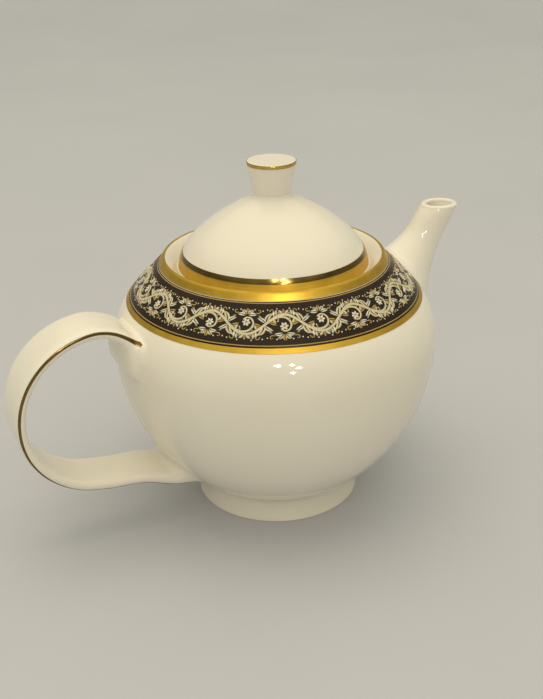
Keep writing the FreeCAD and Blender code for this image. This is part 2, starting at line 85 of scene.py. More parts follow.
def soften(*pieces):
    """Round a profile as glaze does.

    Each point becomes the mean of the profile over a length h to either side of it: the difference of the
    profile's running integral at l + h and l - h, over 2 h. h is the softness at a corner, falls off away
    from it and is never more than the room up to an end. The two ends stay.
    """
    rows = np.concatenate(pieces)
    knots = run(rows[:, :2])
    length = np.linspace(0, knots[-1], int(knots[-1] / FINE_STEP))
    spots = rows[:, 2] > 0
    reach = rows[spots, 2] - SOFTNESS_FADE * np.abs(length[:, None] - knots[spots])
    room = np.minimum(length, knots[-1] - length)
    h = np.maximum(np.minimum(np.maximum(reach.max(axis=1), LEAST_SOFTNESS), room), TINY)
    value = points_at(rows[:, :2], knots, length)
    total = np.zeros_like(value)
    total[1:] = np.cumsum((value[1:] + value[:-1]) / 2 * np.diff(length)[:, None], axis=0)
    path = (points_at(total, length, length + h) - points_at(total, length, length - h)) / (2 * h)[:, None]
    path[[0, -1]] = value[[0, -1]]
    return path


def thin(path):
    """Keep the rows that show: one per ROW_LENGTH of the path and one per ROW_TURN of its bends."""
    step = np.diff(path, axis=0)
    heading = np.unwrap(np.arctan2(step[:, 1], step[:, 0]))
    need = np.hypot(*step.T) / ROW_LENGTH + np.abs(np.gradient(heading)) / ROW_TURN
    measure = np.r_[0, np.cumsum(need)]
    return points_at(path, measure, np.linspace(0, measure[-1], int(measure[-1]) + 2))


print("profile helpers ready, sampled every", FINE_STEP, "mm")

# %% [markdown]
# ## From grids to meshes
# Each surface is a grid of points. Points that coincide, at the seam of a turn or at a pole, become one
# vertex, so that the mesh is closed, and a cell that loses a side there becomes a triangle. Merging by
# distance afterwards would do the same, but here it costs one sort.

# %% Helpers for meshes
WELD = 1e4
SHARP = math.radians(50)
TURNS = 192


def cells(rows, columns, start):
    """Numbers of the four corners of every cell of a grid whose points are counted row by row from start."""
    number = start + np.arange(rows * columns).reshape(rows, columns)
    corners = number[:-1, :-1], number[:-1, 1:], number[1:, 1:], number[1:, :-1]
    return np.stack(corners, -1).reshape(-1, 4)


def to_mesh(name, grids, **marks):
    """An object from grids of points in millimetres; marks are numbers per point, kept as attributes."""
    points = np.concatenate([grid.reshape(-1, 3) for grid in grids])
    starts = np.cumsum([0] + [grid.shape[0] * grid.shape[1] for grid in grids])
    faces = np.concatenate([cells(*grid.shape[:2], start) for grid, start in zip(grids, starts)])
    places = np.rint(points * WELD) + 0.0
    _, first, number = np.unique(places, axis=0, return_index=True, return_inverse=True)
    faces = number.reshape(-1)[faces]
    same = faces == np.roll(faces, -1, axis=1)
    lost = same.sum(axis=1)
    triangles = faces[lost == 1][~same[lost == 1]].reshape(-1, 3)
    mesh = bpy.data.meshes.new(name)
    mesh.from_pydata(points[first] * MM, [], faces[lost == 0].tolist() + triangles.tolist())
    for mark, values in marks.items():
        layer = mesh.attributes.new(mark, "FLOAT", "POINT")
        layer.data.foreach_set("value", np.concatenate([value.reshape(-1) for value in values])[first])
    mesh.validate()
    mesh.shade_smooth()
    mesh.set_sharp_from_angle(angle=SHARP)
    piece = bpy.data.objects.new(name, mesh)
    bpy.context.scene.collection.objects.link(piece)
    print(f"{name}: {len(mesh.vertices)} points, {len(mesh.polygons)} faces")
    return piece


def once_round(turns):
    """Angles once round, ending exactly where they start."""
    return 2 * np.pi * (np.arange(turns + 1) % turns) / turns


def lathe(profile, turns=TURNS):
    """Surface of revolution: (r cos t, r sin t, z) for each (r, z) of the profile and t once round."""
    t = once_round(turns)
    r, z = profile[:, :1], profile[:, 1:]
    return np.stack([r * np.cos(t), r * np.sin(t), z + 0 * t], -1)


def finish_piece(piece, body, node, material):
    """Put a piece on its body in place of its measured node, with its finish."""
    piece.data.materials.append(material)
    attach(piece, body)
    if node:
        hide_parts(node)


print("mesh helpers ready,", TURNS, "steps round a turned piece")

# %% [markdown]
# ## Finishes
# The pot has five finishes: glaze, matt gold, burnished gold, a black print and the enamels on it. Image
# textures would tie them to pictures, so all of them are worked out from nodes, at scales that come from
# real sizes in millimetres.

# %% Helpers for materials
# A mix node keeps its sockets for numbers and for colours side by side, so they are called by their places.
FACTOR, NUMBER_A, NUMBER_B, COLOUR_A, COLOUR_B, NUMBER_OUT, COLOUR_OUT = 0, 2, 3, 6, 7, 0, 2


def to_linear(code):
    """An sRGB hex colour as linear red, green, blue and alpha."""
    c = np.array([int(code[i:i + 2], 16) for i in (1, 3, 5)]) / 255
    linear = np.where(c <= 0.04045, c / 12.92, ((c + 0.055) / 1.055) ** 2.4)
    return (*linear.tolist(), 1.0)


def add(tree, kind, inputs, **settings):
    """Add a node: settings are its properties, inputs are values for its sockets or other outputs."""
    node = tree.nodes.new(kind)
    for key, value in settings.items():
        setattr(node, key, value)
    for key, value in inputs.items():
        if isinstance(value, bpy.types.NodeSocket):
            tree.links.new(value, node.inputs[key])
        else:
            node.inputs[key].default_value = value
    return node


def start_material(name, **sockets):
    """A new material whose shader has these constant values, in sockets whose names have _ for a space.

    Returns the material, its tree, its shader and the place on the piece, which patterns start from.
    """
    material = bpy.data.materials.new(name)
    material.use_nodes = True
    tree = material.node_tree
    shader = tree.nodes["Principled BSDF"]
    for key, value in sockets.items():
        shader.inputs[key.replace("_", " ")].default_value = value
    return material, tree, shader, add(tree, "ShaderNodeTexCoord", {}).outputs["Object"]


def connect(tree, shader, **outputs):
    """Link nodes' outputs to a shader's sockets, whose names have _ for a space."""
    for key, output in outputs.items():
        tree.links.new(output, shader.inputs[key.replace("_", " ")])


def per_mm(size):
    """Scale of a texture whose features are this many millimetres across."""
    return 1 / (size * MM)


print("material helpers ready")

# %% [markdown]
# ### Glazed porcelain
# A hard white body under clear glaze. The glaze ran a little before it set, so its surface has a slow
# ripple, and the foot was wiped bare before firing. One glossy shader would give the colour; three slow
# noises add the unevenness that tells glaze from plastic, and the height above the table finds the bare
# ring.

# %% Glazed porcelain
# To the eye: near-white and faintly warm, with sharp reflections that waver a little.
TONE_MM, HANDLING_MM, GLAZE_RIPPLE_MM, RIPPLE_DEPTH_MM = 60, 16, 11, 0.05
BARE_BELOW_MM, GLAZED_ABOVE_MM = 0.2, 0.45
GLAZE_ROUGHNESS, BARE_ROUGHNESS = (0.03, 0.1), 0.8

porcelain, tree, shader, spot = start_material("glazed porcelain", IOR=1.52)
tone = add(tree, "ShaderNodeTexNoise", {"Vector": spot, "Scale": per_mm(TONE_MM), "Detail": 2.0})
glaze = add(tree, "ShaderNodeMix", {FACTOR: tone.outputs["Fac"], COLOUR_A: to_linear("#f4efe3"),
                                    COLOUR_B: to_linear("#ece5d4")}, data_type="RGBA")
height = add(tree, "ShaderNodeSeparateXYZ", {"Vector": spot}).outputs["Z"]
bare = add(tree, "ShaderNodeMapRange", {"Value": height, "From Min": GLAZED_ABOVE_MM * MM,
                                        "From Max": BARE_BELOW_MM * MM}).outputs["Result"]
colour = add(tree, "ShaderNodeMix", {FACTOR: bare, COLOUR_A: glaze.outputs[COLOUR_OUT],
                                     COLOUR_B: to_linear("#ddd3c2")}, data_type="RGBA")
handling = add(tree, "ShaderNodeTexNoise", {"Vector": spot, "Scale": per_mm(HANDLING_MM), "Detail": 4.0})
gloss = add(tree, "ShaderNodeMapRange", {"Value": handling.outputs["Fac"], "To Min": GLAZE_ROUGHNESS[0],
                                         "To Max": GLAZE_ROUGHNESS[1]})
rough = add(tree, "ShaderNodeMix", {FACTOR: bare, NUMBER_A: gloss.outputs["Result"],
                                    NUMBER_B: BARE_ROUGHNESS})
ripple = add(tree, "ShaderNodeTexNoise", {"Vector": spot, "Scale": per_mm(GLAZE_RIPPLE_MM), "Detail": 1.0})
bump = add(tree, "ShaderNodeBump", {"Height": ripple.outputs["Fac"], "Strength": 0.6,
                                    "Distance": RIPPLE_DEPTH_MM * MM})
connect(tree, shader, Base_Color=colour.outputs[COLOUR_OUT], Roughness=rough.outputs[NUMBER_OUT],
        Normal=bump.outputs["Normal"])
print("made", porcelain.name)

# %% [markdown]
# ### Matt gold
# Liquid gold, painted from a banding wheel and fired, and then left as it came from the kiln. The brush
# leaves faint rings round the axis. Anisotropy could hint at them; a one-dimensional noise of the radius
# less the height draws real ones, on flat and upright bands alike. All gold on the pot wears in patches, so
# one function starts each kind.

# %% Matt gold
# To the eye: a warm yellow metal with a soft sheen, broken by fine rings and patches of wear. Brush marks
# are about 0.1 mm wide; they are drawn at 0.5 mm so that they show.
BRUSH_MM, BRUSH_DEPTH_MM, WEAR_MM = 0.5, 0.03, 7
SATIN_ROUGHNESS = 0.34, 0.5


def fired_gold(name, dark, light, roughness):
    """Gold between two tones and two roughnesses, in patches of wear; returns what start_material does."""
    material, tree, shader, spot = start_material(name, Metallic=1.0)
    wear = add(tree, "ShaderNodeTexNoise", {"Vector": spot, "Scale": per_mm(WEAR_MM), "Detail": 5.0})
    colour = add(tree, "ShaderNodeMix", {FACTOR: wear.outputs["Fac"], COLOUR_A: to_linear(dark),
                                         COLOUR_B: to_linear(light)}, data_type="RGBA")
    gloss = add(tree, "ShaderNodeMapRange", {"Value": wear.outputs["Fac"], "To Min": roughness[0],
                                             "To Max": roughness[1]})
    connect(tree, shader, Base_Color=colour.outputs[COLOUR_OUT], Roughness=gloss.outputs["Result"])
    print("made", name)
    return material, tree, shader, spot


satin_gold, tree, shader, spot = fired_gold("matt fired gold", "#b8922e", "#dcb84e", SATIN_ROUGHNESS)
axes = add(tree, "ShaderNodeSeparateXYZ", {"Vector": spot})
flat = add(tree, "ShaderNodeCombineXYZ", {"X": axes.outputs["X"], "Y": axes.outputs["Y"]})
radius = add(tree, "ShaderNodeVectorMath", {"Vector": flat.outputs["Vector"]}, operation="LENGTH")
ring = add(tree, "ShaderNodeMath", {0: radius.outputs["Value"], 1: axes.outputs["Z"]}, operation="SUBTRACT")
brush = add(tree, "ShaderNodeTexNoise", {"W": ring.outputs["Value"], "Scale": per_mm(BRUSH_MM),
                                         "Detail": 2.0}, noise_dimensions="1D")
bump = add(tree, "ShaderNodeBump", {"Height": brush.outputs["Fac"], "Strength": 0.5,
                                    "Distance": BRUSH_DEPTH_MM * MM})
connect(tree, shader, Normal=bump.outputs["Normal"])

# %% [markdown]
# ### Burnished gold
# The same gold rubbed with agate until it mirrors the room. Its base colour is painted dark, a painted
# reflection of a dark room, on the lid's edge line and the handle's lines; the knob's line takes a lighter
# copy, a painted brighter reflection. A plain mirror would do from far off, but the patches of wear keep the
# lines from looking drawn.

# %% Burnished gold
# To the eye: thin dark mirrors that flash where they meet a lamp. The dark is painted into the base colour,
# a painted reflection of a dark room.
MIRROR_ROUGHNESS = 0.1, 0.24
# Base colour painted dark: a painted reflection of a dark room.
burnished_gold_painted_dark = fired_gold("burnished gold", "#5c4a26", "#8a7444", MIRROR_ROUGHNESS)[0]
# A lighter copy for the knob's line: its brighter colour is a painted reflection.
burnished_gold_painted_light = fired_gold("burnished gold painted light", "#b08e48", "#d8bc74", MIRROR_ROUGHNESS)[0]

# %% [markdown]
# ### Black print
# A transfer print in near-black under a thin flux, with a fine pale line along each edge. Separate strips
# could make the lines, but they are printed with the rest. So each point of the border knows how far across
# it lies: the attribute "across" runs from 0 at the lower edge to 1 at the upper edge, and a colour ramp
# draws the lines on it.

# %% Black print
# To the eye: a soft, slightly uneven black, duller than the glaze beside it.
PRINT_MM = 3
PRINT_ROUGHNESS = 0.2, 0.4
LINES = [(0.0, "#22160a"), (0.036, "#b3935a"), (0.056, "#22160a"), (0.95, "#b3935a"), (0.97, "#22160a")]


def fired_colours(name, mark, steps, detail, roughness, **sockets):
    """Colours in flat steps along an attribute, each from its place on, with patches of duller gloss.

    Returns the material, its tree, its shader, the steps' colour and the patches.
    """
    material, tree, shader, spot = start_material(name, IOR=1.5, **sockets)
    value = add(tree, "ShaderNodeAttribute", {}, attribute_name=mark).outputs["Fac"]
    ramp = add(tree, "ShaderNodeValToRGB", {"Fac": value})
    ramp.color_ramp.interpolation = "CONSTANT"
    stops = ramp.color_ramp.elements
    stops.remove(stops[-1])
    stops[0].color = to_linear(steps[0][1])
    for place, code in steps[1:]:
        stops.new(place).color = to_linear(code)
    patch = add(tree, "ShaderNodeTexNoise", {"Vector": spot, "Scale": per_mm(PRINT_MM), "Detail": detail})
    gloss = add(tree, "ShaderNodeMapRange", {"Value": patch.outputs["Fac"], "To Min": roughness[0],
                                             "To Max": roughness[1]})
    connect(tree, shader, Roughness=gloss.outputs["Result"])
    print("made", name)
    return material, tree, shader, ramp.outputs["Color"], patch.outputs["Fac"]


border_print, tree, shader, ground, patch = fired_colours(
    "black transfer print", "across", LINES, 4.0, PRINT_ROUGHNESS, Specular_IOR_Level=0.22)
colour = add(tree, "ShaderNodeMix", {FACTOR: patch, COLOUR_A: ground, COLOUR_B: to_linear("#2b1d0d")},
             data_type="RGBA", blend_type="LIGHTEN")
connect(tree, shader, Base_Color=colour.outputs[COLOUR_OUT])

# %% [markdown]
# ### Enamels
# Opaque enamels are laid on the print and fired. A material for each colour would do, but one is enough:
# the attribute "tint" says which enamel a stroke is, and "shade" darkens one side of it, as an engraver
# does.

# %% Enamels
# To the eye: cream, pale gold, white and touches of rose and green, each a little uneven and softly glossy.
TINTS = ["#e0d3ac", "#c2a560", "#efe8d4", "#b58a72", "#96997a"]
ENAMEL_ROUGHNESS, ENAMEL_DEPTH = (0.22, 0.4), (0.75, 1.1)

tint_steps = [(index / len(TINTS), code) for index, code in enumerate(TINTS)]
scroll_enamel, tree, shader, enamel, patch = fired_colours(
    "fired enamel", "tint", tint_steps, 3.0, ENAMEL_ROUGHNESS)
uneven = add(tree, "ShaderNodeMapRange", {"Value": patch, "To Min": ENAMEL_DEPTH[0],
                                          "To Max": ENAMEL_DEPTH[1]})
shade = add(tree, "ShaderNodeAttribute", {}, attribute_name="shade").outputs["Fac"]
depth = add(tree, "ShaderNodeMath", {0: uneven.outputs["Result"], 1: shade}, operation="MULTIPLY")
colour = add(tree, "ShaderNodeMix", {FACTOR: 1.0, COLOUR_A: enamel, COLOUR_B: depth.outputs["Value"]},
             data_type="RGBA", blend_type="MULTIPLY")
connect(tree, shader, Base_Color=colour.outputs[COLOUR_OUT])

# %% [markdown]
# ## The globe
# The pot is one casting: foot ring, belly, shoulder, raised rim, dished seat for the lid, and the hollow
# inside. Its outside is three arcs that run into each other. A sphere with loop cuts would come close, but
# the profile's own arcs are known, so a lathe is exact.

# %% Sizes of the globe
BODY_RADIUS, BELLY_ARC, EQUATOR_ARC, SHOULDER_ARC, SHOULDER_START = 75.0, 85.0, 30.0, 126.0, 38.6
FOOT_RADIUS, FOOT_TOP, FOOT_HEIGHT, FOOT_WALL, RECESS, FLOOR = 39.3, 37.8, 10.7, 4.6, 6.8, 11.6
RIM_BASE, RIM_LEAN, RIM_RISE, RIM_WIDTH, RIM_CREST = 52.0, 1.8, 3.2, 1.5, 0.45
SEAT_RADIUS, MOUTH_RADIUS, SEAT_DROP, SEAT_THICKNESS, WALL = 43.7, 36.5, 1.4, 3.8, 4.0

belly_x = BODY_RADIUS - BELLY_ARC
EQUATOR = FOOT_HEIGHT + math.sqrt(BELLY_ARC ** 2 - (FOOT_TOP - belly_x) ** 2)
equator_x = BODY_RADIUS - EQUATOR_ARC
shoulder_x = equator_x + (EQUATOR_ARC - SHOULDER_ARC) * math.cos(math.radians(SHOULDER_START))
shoulder_z = EQUATOR + (EQUATOR_ARC - SHOULDER_ARC) * math.sin(math.radians(SHOULDER_START))
RIM_Z_BASE = shoulder_z + math.sqrt(SHOULDER_ARC ** 2 - (RIM_BASE - shoulder_x) ** 2)
RIM_RADIUS, RIM_Z, SEAT_Z = RIM_BASE - RIM_LEAN, RIM_Z_BASE + RIM_RISE, RIM_Z_BASE - SEAT_DROP
print("widest at", round(EQUATOR, 1), "mm, rim at", round(RIM_Z, 1), "mm")

# %% Globe
FOOT_WAIST, WAIST_DROP, FLARE_POWER, FLARE_START, FLARE_ROWS = 37.4, 0.3, 1.8, 0.92, 14
WAIST_SOFTNESS = 1.0


def degrees_at(height, centre_height, radius):
    """Angle on an arc where it reaches a height."""
    return math.degrees(math.asin((height - centre_height) / radius))


def globe_side(inset):
    """The three arcs of the globe's side, from belly to shoulder, moved inwards by a wall's thickness."""
    low = degrees_at(FLOOR if inset else FOOT_HEIGHT, EQUATOR, BELLY_ARC - inset)
    neck = SEAT_Z - SEAT_THICKNESS if inset else RIM_Z_BASE
    high = degrees_at(neck, shoulder_z, SHOULDER_ARC - inset)
    return np.concatenate([
        arc((belly_x, EQUATOR), BELLY_ARC - inset, low, 0),
        arc((equator_x, EQUATOR), EQUATOR_ARC - inset, 0, SHOULDER_START),
        arc((shoulder_x, shoulder_z), SHOULDER_ARC - inset, SHOULDER_START, high)])


globe_outside = globe_side(0)
# The foot ring flares: its radius grows from the waist as a power of the distance below it.
fall = np.linspace(FLARE_START, 0, FLARE_ROWS)
flare = np.stack([FOOT_WAIST + (FOOT_RADIUS - FOOT_WAIST) * fall ** FLARE_POWER,
                  (FOOT_HEIGHT - WAIST_DROP) * (1 - fall), 0 * fall], -1)
flare[-1, 2] = WAIST_SOFTNESS
pot_path = soften(
    corner(0, RECESS, 0), corner(FOOT_TOP - FOOT_WALL, RECESS, 2.0), corner(FOOT_RADIUS - FOOT_WALL, 0, 1.0),
    corner(FOOT_RADIUS, 0, 0.7), flare, globe_outside,
    corner(RIM_BASE, RIM_Z_BASE, 0.5), corner(RIM_RADIUS, RIM_Z, 0.35),
    corner(RIM_RADIUS - RIM_WIDTH / 2, RIM_Z + RIM_CREST, 0.3), corner(RIM_RADIUS - RIM_WIDTH, RIM_Z, 0.4),
    corner(SEAT_RADIUS, SEAT_Z, 0.6), corner(MOUTH_RADIUS, SEAT_Z, 0.8),
    corner(MOUTH_RADIUS, SEAT_Z - SEAT_THICKNESS, 1.2), globe_side(WALL)[::-1], corner(0, FLOOR, 0))
pot = to_mesh("globe_porcelain", [lathe(thin(pot_path))])

# %% [markdown]
# ## Holes
# Behind the spout the wall is pierced by seven strainer holes, and later the lid gets a steam hole. The
# real ones are punched through soft clay, so they are cut with pegs and Blender's exact boolean, whose
# result is kept as the mesh. Holes left out of the grid itself would need a grid that bends round them. A
# peg has 30 sides, so that none of its corners lies on the wall's meridian through its middle.

# %% Strainer holes
PEG_SIDES, STRAINER_PEG = 30, (50, 90)
STRAINER_HOLE, STRAINER_RING, STRAINER_HEIGHT = 2.3, 8.5, EQUATOR + 9.0


def peg(span, radius):
    """A closed rod on the Z axis between two heights."""
    start, end = span
    return lathe(np.array([[0, start], [radius, start], [radius, end], [0, end]]), PEG_SIDES)


def pierce(piece, pegs):
    """Cut pegs out of a piece and keep the evaluated mesh."""
    cutter = to_mesh(piece.name + "_pegs", pegs)
    cut = piece.modifiers.new("holes", "BOOLEAN")
    cut.object, cut.operation, cut.solver = cutter, "DIFFERENCE", "EXACT"
    graph = bpy.context.evaluated_depsgraph_get()
    mesh = bpy.data.meshes.new_from_object(piece.evaluated_get(graph))
    piece.modifiers.clear()
    piece.data = mesh
    mesh.set_sharp_from_angle(angle=SHARP)
    bpy.data.objects.remove(cutter)
    print(f"{piece.name}: {len(pegs)} holes cut, {len(mesh.polygons)} faces")


sixths = np.radians(np.arange(0, 360, 60))
centres = np.r_[[[0.0, 0.0]], STRAINER_RING * np.stack([np.sin(sixths), np.cos(sixths)], -1)]
centres[:, 1] += STRAINER_HEIGHT
rod_along_x = peg(STRAINER_PEG, STRAINER_HOLE)[..., [2, 0, 1]]
pierce(pot, [rod_along_x + np.array([0, *centre]) for centre in centres])
finish_piece(pot, "pot", "pot_body", porcelain)

# %% [markdown]
# ## Joins on the globe
# Spout and handle are cast by themselves and stuck on with slip, which fills the corner with a small
# fillet. A boolean with a bevel would be fragile here. Instead every line that runs along the tube is
# followed into the globe, cut a little before it gets there, and carried on as a parabola that ends flat on
# the globe.

# %% Helpers for joins
FILLET_ROWS = 9
SINK = 0.03
globe_z = np.r_[FOOT_HEIGHT, globe_outside[:, 1], RIM_Z_BASE]
globe_r = np.r_[FOOT_TOP, globe_outside[:, 0], RIM_BASE]


def pick(grid, place, axis):
    """A grid's points at fractional places along one axis, on straight lines between neighbours."""
    low = np.clip(np.floor(place).astype(int), 0, grid.shape[axis] - 2)
    share = (place - low)[..., None]
    below = np.take_along_axis(grid, low[..., None], axis)
    above = np.take_along_axis(grid, low[..., None] + 1, axis)
    return below * (1 - share) + above * share


def through(stations, count):
    """A smooth curve through the rows of a table.

    It is the cubic through each pair of rows, by the length between them, whose slopes are the table's
    gradient.
    """
    knots = run(stations[:, :2])
    slopes = np.gradient(stations, knots, axis=0)
    length = np.linspace(0, knots[-1], count)
    i = np.clip(np.searchsorted(knots, length, side="right") - 1, 0, len(knots) - 2)
    gap = np.diff(knots)[i][:, None]
    f = (length - knots[i])[:, None] / gap
    return ((1 + 2 * f) * (1 - f) ** 2 * stations[i] + f * (1 - f) ** 2 * gap * slopes[i]
            + f ** 2 * (3 - 2 * f) * stations[i + 1] + f ** 2 * (f - 1) * gap * slopes[i + 1])


def entry_place(lines):
    """The fractional row at which each line, followed inwards, passes through the globe's surface."""
    gap = np.hypot(lines[..., 0], lines[..., 1]) - np.interp(lines[..., 2], globe_z, globe_r)
    row = np.argmax(gap < 0, axis=0)[None]
    above, below = (np.take_along_axis(gap, row - back, 0) for back in (1, 0))
    return row - 1 + above / (above - below)


def footing(lines, reach):
    """Where to cut each line, and the fillet that carries it on.

    The fillet is (1-q)^2 a + 2 q (1-q) b + q^2 c: a is the line's point a reach before it enters the globe,
    b the entry, and c a point of the globe a reach further out from the middle of the join.
    """
    place = entry_place(lines)
    entry = pick(lines, place, 0)[0]
    step = np.linalg.norm(pick(lines, place, 0) - pick(lines, place - 1, 0), axis=-1)
    cut = place - reach / step
    radius = np.hypot(entry[:, 0], entry[:, 1])
    lean = np.interp(entry[:, 2], globe_z, np.gradient(globe_r, globe_z))
    normal = np.stack([entry[:, 0] / radius, entry[:, 1] / radius, -lean], -1) / np.hypot(1, lean)[:, None]
    away = entry - entry[:-1].mean(axis=0)
    away -= normal * (away * normal).sum(axis=1, keepdims=True)
    foot = entry + away / np.linalg.norm(away, axis=1, keepdims=True) * np.reshape(reach, (-1, 1))
    on_globe = np.interp(foot[:, 2], globe_z, globe_r) - SINK
    foot[:, :2] *= (on_globe / np.hypot(foot[:, 0], foot[:, 1]))[:, None]
    q = np.linspace(0, 1, FILLET_ROWS)[:, None, None]
    return cut, (1 - q) ** 2 * pick(lines, cut, 0) + 2 * q * (1 - q) * entry + q ** 2 * foot


def between(lines, first, last, count):
    """Rows of a set of lines, evenly spread between two places on each line."""
    share = np.linspace(0, 1, count)[:, None]
    return pick(lines, first + (last - first) * share, 0)


print("globe side:", len(globe_z), "heights for joins")

# %% [markdown]
# ## The spout
# The spout is hollow. It leaves the globe wide and low, narrows in a soft S and ends in a mouth cut level.
# Its sections are ellipses that tilt with the path, given at five stations. The bore follows the same
# stations, smaller by a wall, and a half-round lip joins the two. A tube with a Solidify modifier would
# have one thickness; so inside and outside are drawn as one closed sheet.

# %% Spout
TIP_X, TIP_Z, TIP_SLOPE, LIP = 90.2, EQUATOR + 48.4, 60, 1.1
TIP_WALL, SPOUT_WALL = 2.7, 3.2
SPOUT_TURNS, SPOUT_ROWS, SPOUT_REACH = 96, 160, 6.5
BORE_ROWS, LIP_ROWS, SIDE_ROWS = 40, 9, 60
spout_stations = np.array([
    # reach, height, slope, half height, half width
    [TIP_X, TIP_Z - LIP, 90, 9.24, 8.0],
    [80.45, TIP_Z - 16.89, TIP_SLOPE, 9.1, 8.9],
    [75.6, EQUATOR + 23.4, 44, 11.7, 11.5],
    [69.0, EQUATOR + 9.0, 19, 21.0, 17.5],
    [55.76, EQUATOR + 4.44, 19, 25.0, 21.5]])
bore_stations = spout_stations.copy()
bore_stations[0, 3:] -= TIP_WALL / math.sin(math.radians(TIP_SLOPE)), TIP_WALL
bore_stations[1, 3:] -= TIP_WALL
bore_stations[2:, 3:] -= SPOUT_WALL


def spout_lines(stations):
    """Ellipses along the path: c + a cos f (-sin s, cos s) in the upright plane + b sin f across it."""
    x, z, slope, high, wide = (column[:, None] for column in through(stations, SPOUT_ROWS).T)
    slope = np.radians(slope)
    f = once_round(SPOUT_TURNS)
    rise = high * np.cos(f)
    return np.stack([x - rise * np.sin(slope), wide * np.sin(f), z + rise * np.cos(slope)], -1)


outer, bore = spout_lines(spout_stations), spout_lines(bore_stations)
cut, spout_fillet = footing(outer, SPOUT_REACH)
bore_rows = between(bore, 0 * cut, entry_place(bore), BORE_ROWS)
q = np.linspace(0, np.pi, LIP_ROWS)[1:-1, None, None]
lip = bore[:1] + (outer[:1] - bore[:1]) * (1 - np.cos(q)) / 2 + np.array([0, 0, LIP]) * np.sin(q)
side_rows = between(outer, 0 * cut, cut, SIDE_ROWS)
spout_grid = np.concatenate([bore_rows[::-1], lip, side_rows, spout_fillet[1:], bore_rows[-1:]])
spout = to_mesh("spout_porcelain", [spout_grid])
finish_piece(spout, "pot", "spout", porcelain)

# %% [markdown]
# ## The handle
# The handle is a flat bar with round edges, bent into a loop. It thickens to a lug at its upper root, with
# a crease below it, and flares at its lower root. The bar's section is carried along a path of stations:
# upper root, throat, bend, the circular loop, lower arm and lower root. A curve with a bevel object would
# keep one section; here width and thickness change along the way.

# %% Stations of the handle
LOOP_X, LOOP_TOP, LOOP_BOTTOM, ARM_SLOPE, ARM_END = 88.0, EQUATOR + 21.4, 29.5, 6.9, 72.0
STRAP_WIDTH, STRAP_THICKNESS, LOOP_STATIONS = 12.5, 2.4, 13
LOOP_RADIUS, LOOP_Z = (LOOP_TOP - LOOP_BOTTOM) / 2, (LOOP_TOP + LOOP_BOTTOM) / 2
arm_slope = math.radians(ARM_SLOPE)
arm_x = LOOP_X + LOOP_RADIUS * math.sin(arm_slope)
arm_z = LOOP_Z - LOOP_RADIUS * math.cos(arm_slope)
arm_end_z = arm_z - (arm_x - ARM_END) * math.tan(arm_slope)
turned = np.linspace(0, 180 - ARM_SLOPE, LOOP_STATIONS)
loop = np.stack([-LOOP_X - LOOP_RADIUS * np.sin(np.radians(turned)),
                 LOOP_Z + LOOP_RADIUS * np.cos(np.radians(turned)),
                 180 + turned, STRAP_WIDTH + 0 * turned, STRAP_THICKNESS + 0 * turned], -1)
handle_stations = np.concatenate([
    # place along X, height, direction, half width, half thickness
    [[-61.0, EQUATOR + 4.65, 163, 21.5, 10.3],
     [-70.9, EQUATOR + 5.85, 163.4, 19.0, 10.15],
     [-73.65, EQUATOR + 7.65, 163.5, 17.4, 9.35],
     [-75.9, EQUATOR + 15.9, 153.4, 14.3, 3.8],
     [-81.5, LOOP_TOP - 1.6, 158, 12.9, 2.6]], loop,
    [[-ARM_END, arm_end_z, 360 - ARM_SLOPE, 12.9, 2.4],
     [-57.0, 24.4, 360 - ARM_SLOPE, 15.0, 4.5],
     [-47.5, 28.5, 382, 19.0, 9.0]]])
print("handle stations:", len(handle_stations), "loop radius:", round(LOOP_RADIUS, 1), "mm")

# %% Handle
HANDLE_TURNS, HANDLE_ROWS, STRAP_ROWS, EDGE_ROUND = 96, 400, 150, 5.0
EDGE_REACH, CREASE_REACH, TOP_REACH = 5.0, 0.4, 1.5


def strap_lines(stations):
    """Bars with round edges along the path.

    A section's point is c + (e cos f + (w - e) g) across + h sin f towards the inside of the loop. w and h
    are its half width and half thickness, and e is the smaller of h and EDGE_ROUND. g is
    1 - (1 - |cos f|)^4 with the sign of cos f, so it stays near -1 and 1 on the edges and changes over on
    the faces.
    """
    x, z, slope, wide, thick = (column[:, None] for column in through(stations, HANDLE_ROWS).T)
    slope = np.radians(slope)
    f = once_round(HANDLE_TURNS)
    g = np.sign(np.cos(f)) * (1 - (1 - np.abs(np.cos(f))) ** 4)
    edge = np.minimum(thick, EDGE_ROUND)
    across = edge * np.cos(f) + (wide - edge) * g
    rise = thick * np.sin(f)
    return np.stack([x - rise * np.sin(slope), across, z + rise * np.cos(slope)], -1)


strap = strap_lines(handle_stations)
# The upper fillet is wide at the edges, small on top and almost nothing underneath, which leaves the
# crease.
towards_inside = np.sin(once_round(HANDLE_TURNS))
under, over = np.sqrt(np.clip(towards_inside, 0, 1)), np.clip(-towards_inside, 0, 1) ** 2
upper_reach = EDGE_REACH - (EDGE_REACH - CREASE_REACH) * under - (EDGE_REACH - TOP_REACH) * over
middle = HANDLE_ROWS // 2
upper_cut, upper_fillet = footing(strap[middle::-1], upper_reach)
lower_cut, lower_fillet = footing(strap[middle:], EDGE_REACH)
strap_rows = between(strap, middle - upper_cut, middle + lower_cut, STRAP_ROWS)
handle_skin = np.concatenate([upper_fillet[:0:-1], strap_rows, lower_fillet[1:]])
caps = [np.repeat(ring[:, :-1].mean(axis=1, keepdims=True), HANDLE_TURNS + 1, axis=1)
        for ring in (handle_skin[:1], handle_skin[-1:])]
handle = to_mesh("handle_porcelain", [np.concatenate([caps[0], handle_skin, caps[1]])])
finish_piece(handle, "pot", "handle", porcelain)

# %% [markdown]
# ## The lid and its knob
# The lid is a dome of two arcs on a gold-banded edge, with a flange below that hangs in the mouth. The knob
# is a small cone with a flat top, stuck on in the middle of the dome with a fillet. Both could be cones and
# spheres with bevels, but as profiles they share the globe's way of softening.

